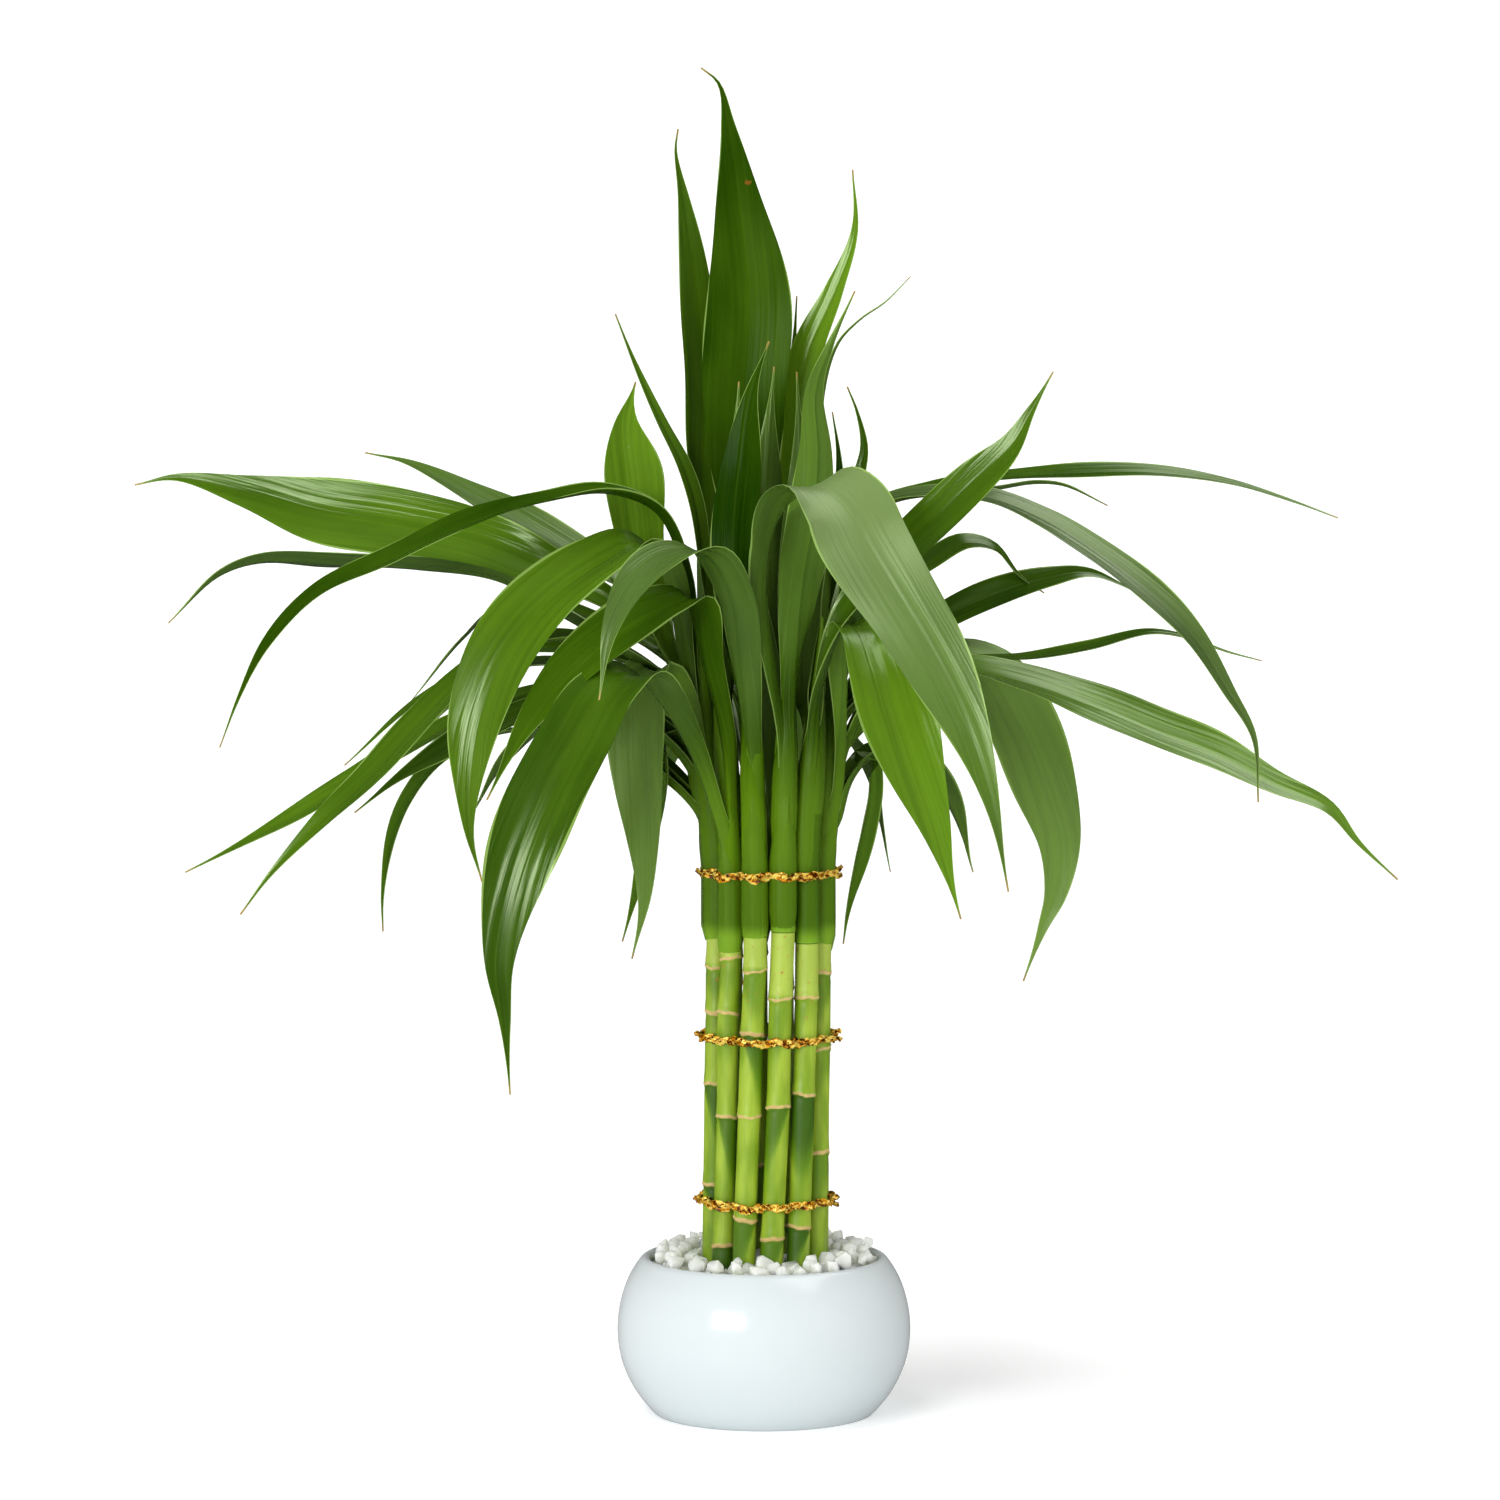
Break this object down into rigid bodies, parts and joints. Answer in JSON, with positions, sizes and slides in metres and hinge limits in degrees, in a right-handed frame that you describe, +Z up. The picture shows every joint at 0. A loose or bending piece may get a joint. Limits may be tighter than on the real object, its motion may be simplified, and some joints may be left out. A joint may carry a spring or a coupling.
{
  "type": "lucky bamboo",
  "caption": "Potted lucky bamboo: green canes tied in a ring with foil, leafy shoots arching from their tops, held by white stones in a round glazed bowl.",
  "frame": {"origin": "centre of the bowl's flat foot, on the surface it stands on", "axes": "+Z up along the canes, -Y towards the picture's viewer, +X to the viewer's right"},
  "size_m": [0.5109, 0.2591, 0.5396],
  "materials": {
    "pot": "satin pale blue-white glaze",
    "stones": "crushed milky quartz, faintly translucent",
    "cane": "living green cane, darker under each sheath scar",
    "leaf": "glossy living leaf with fine lengthwise veins and a pale margin",
    "foil": "crumpled gold foil"
  },
  "bodies": {
    "root": {"pot": "pot", "stone_bed": "stones", "cane_01": "cane", "cane_02": "cane", "cane_03": "cane", "cane_04": "cane", "cane_05": "cane", "cane_06": "cane", "cane_07": "cane", "cane_08": "cane", "cane_09": "cane", "cane_10": "cane", "cane_11": "cane", "cane_12": "cane", "shoot_01": "leaf", "shoot_02": "leaf", "shoot_03": "leaf", "shoot_04": "leaf", "shoot_05": "leaf", "shoot_06": "leaf", "shoot_07": "leaf", "shoot_08": "leaf", "shoot_09": "leaf", "shoot_10": "leaf", "shoot_11": "leaf", "shoot_12": "leaf", "tie_bottom": "foil", "tie_middle": "foil", "tie_top": "foil"}
  },
  "joints": []
}
